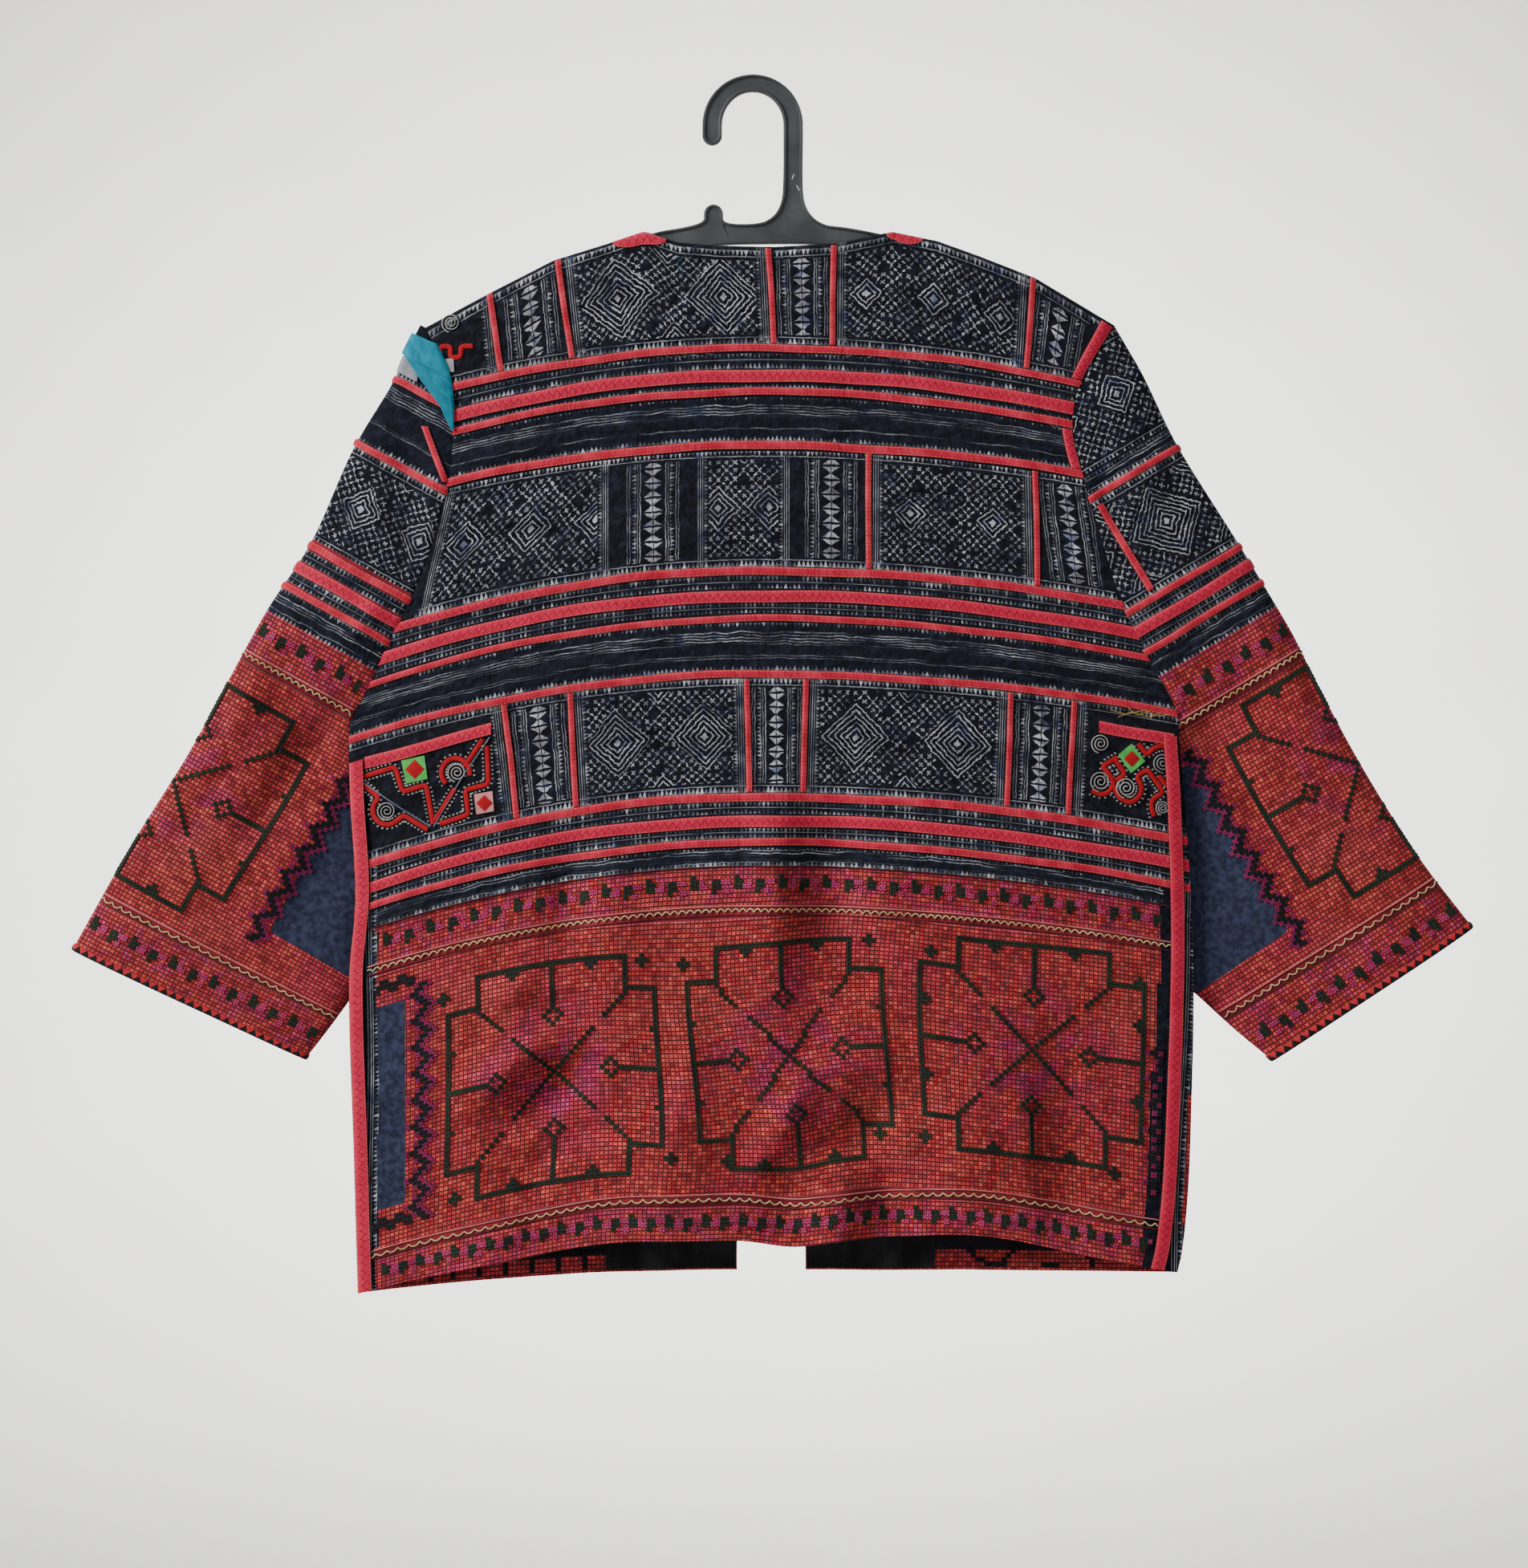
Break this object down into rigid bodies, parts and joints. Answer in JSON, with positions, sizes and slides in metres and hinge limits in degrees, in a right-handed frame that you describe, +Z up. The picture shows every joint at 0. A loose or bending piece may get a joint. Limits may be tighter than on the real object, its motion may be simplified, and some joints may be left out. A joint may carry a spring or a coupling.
{
  "type": "patchwork jacket on hanger",
  "caption": "Open-front, wide-sleeved patchwork jacket with batik strips, red tapes and a cross-stitched hem, hanging flat on a plastic hanger.",
  "frame": {"origin": "inner top of the hanger's hook, midway through its thickness, where a rail or nail carries it", "axes": "+X the wearer's right along the sleeve span, +Y towards the fronts, the back faces -Y, +Z up"},
  "size_m": [0.9274, 0.0372, 0.8051],
  "materials": {
    "batik": "indigo cotton with wax-resist lines, matt",
    "stitched": "dense red cross-stitch in cotton thread",
    "tape": "folded red cotton tape, edge-stitched",
    "facing": "plain black-grey cotton",
    "teal": "plain teal cotton patch",
    "grey": "plain grey cotton patch",
    "plastic": "moulded dark grey plastic with scuffs"
  },
  "bodies": {
    "root": {"armhole_tape_1": "tape", "armhole_tape_2": "tape", "back": "batik", "back_tape_1": "tape", "back_tape_10": "tape", "back_tape_11": "tape", "back_tape_2": "tape", "back_tape_3": "tape", "back_tape_4": "tape", "back_tape_5": "tape", "back_tape_6": "tape", "back_tape_7": "tape", "back_tape_8": "tape", "back_tape_9": "tape", "corner_bar_left": "tape", "corner_bar_right": "tape", "cuff_binding_left": "facing", "cuff_binding_right": "facing", "facing_left": "facing", "facing_right": "facing", "front_left": "batik", "front_right": "batik", "grey_patch": "grey", "hanger": "plastic", "neck_binding_left": "tape", "neck_binding_right": "tape", "neck_corner_left": "tape", "neck_corner_right": "tape", "side_band_left": "tape", "side_band_right": "tape", "sleeve_left_back": "stitched", "sleeve_left_front": "stitched", "sleeve_long_tape": "tape", "sleeve_right_back": "stitched", "sleeve_right_front": "stitched", "sleeve_slant_tape": "tape", "sleeve_tape_left_1": "tape", "sleeve_tape_left_2": "tape", "sleeve_tape_left_3": "tape", "sleeve_tape_left_4": "tape", "sleeve_tape_left_5": "tape", "sleeve_tape_right_1": "tape", "sleeve_tape_right_2": "tape", "sleeve_tape_right_3": "tape", "sleeve_tape_right_4": "tape", "teal_patch": "teal", "upright_1_1": "tape", "upright_1_2": "tape", "upright_1_3": "tape", "upright_1_4": "tape", "upright_1_5": "tape", "upright_2_1": "tape", "upright_2_2": "tape", "upright_3_1": "tape", "upright_3_2": "tape", "upright_3_3": "tape", "upright_3_4": "tape", "upright_3_5": "tape", "upright_3_6": "tape"}
  },
  "joints": []
}
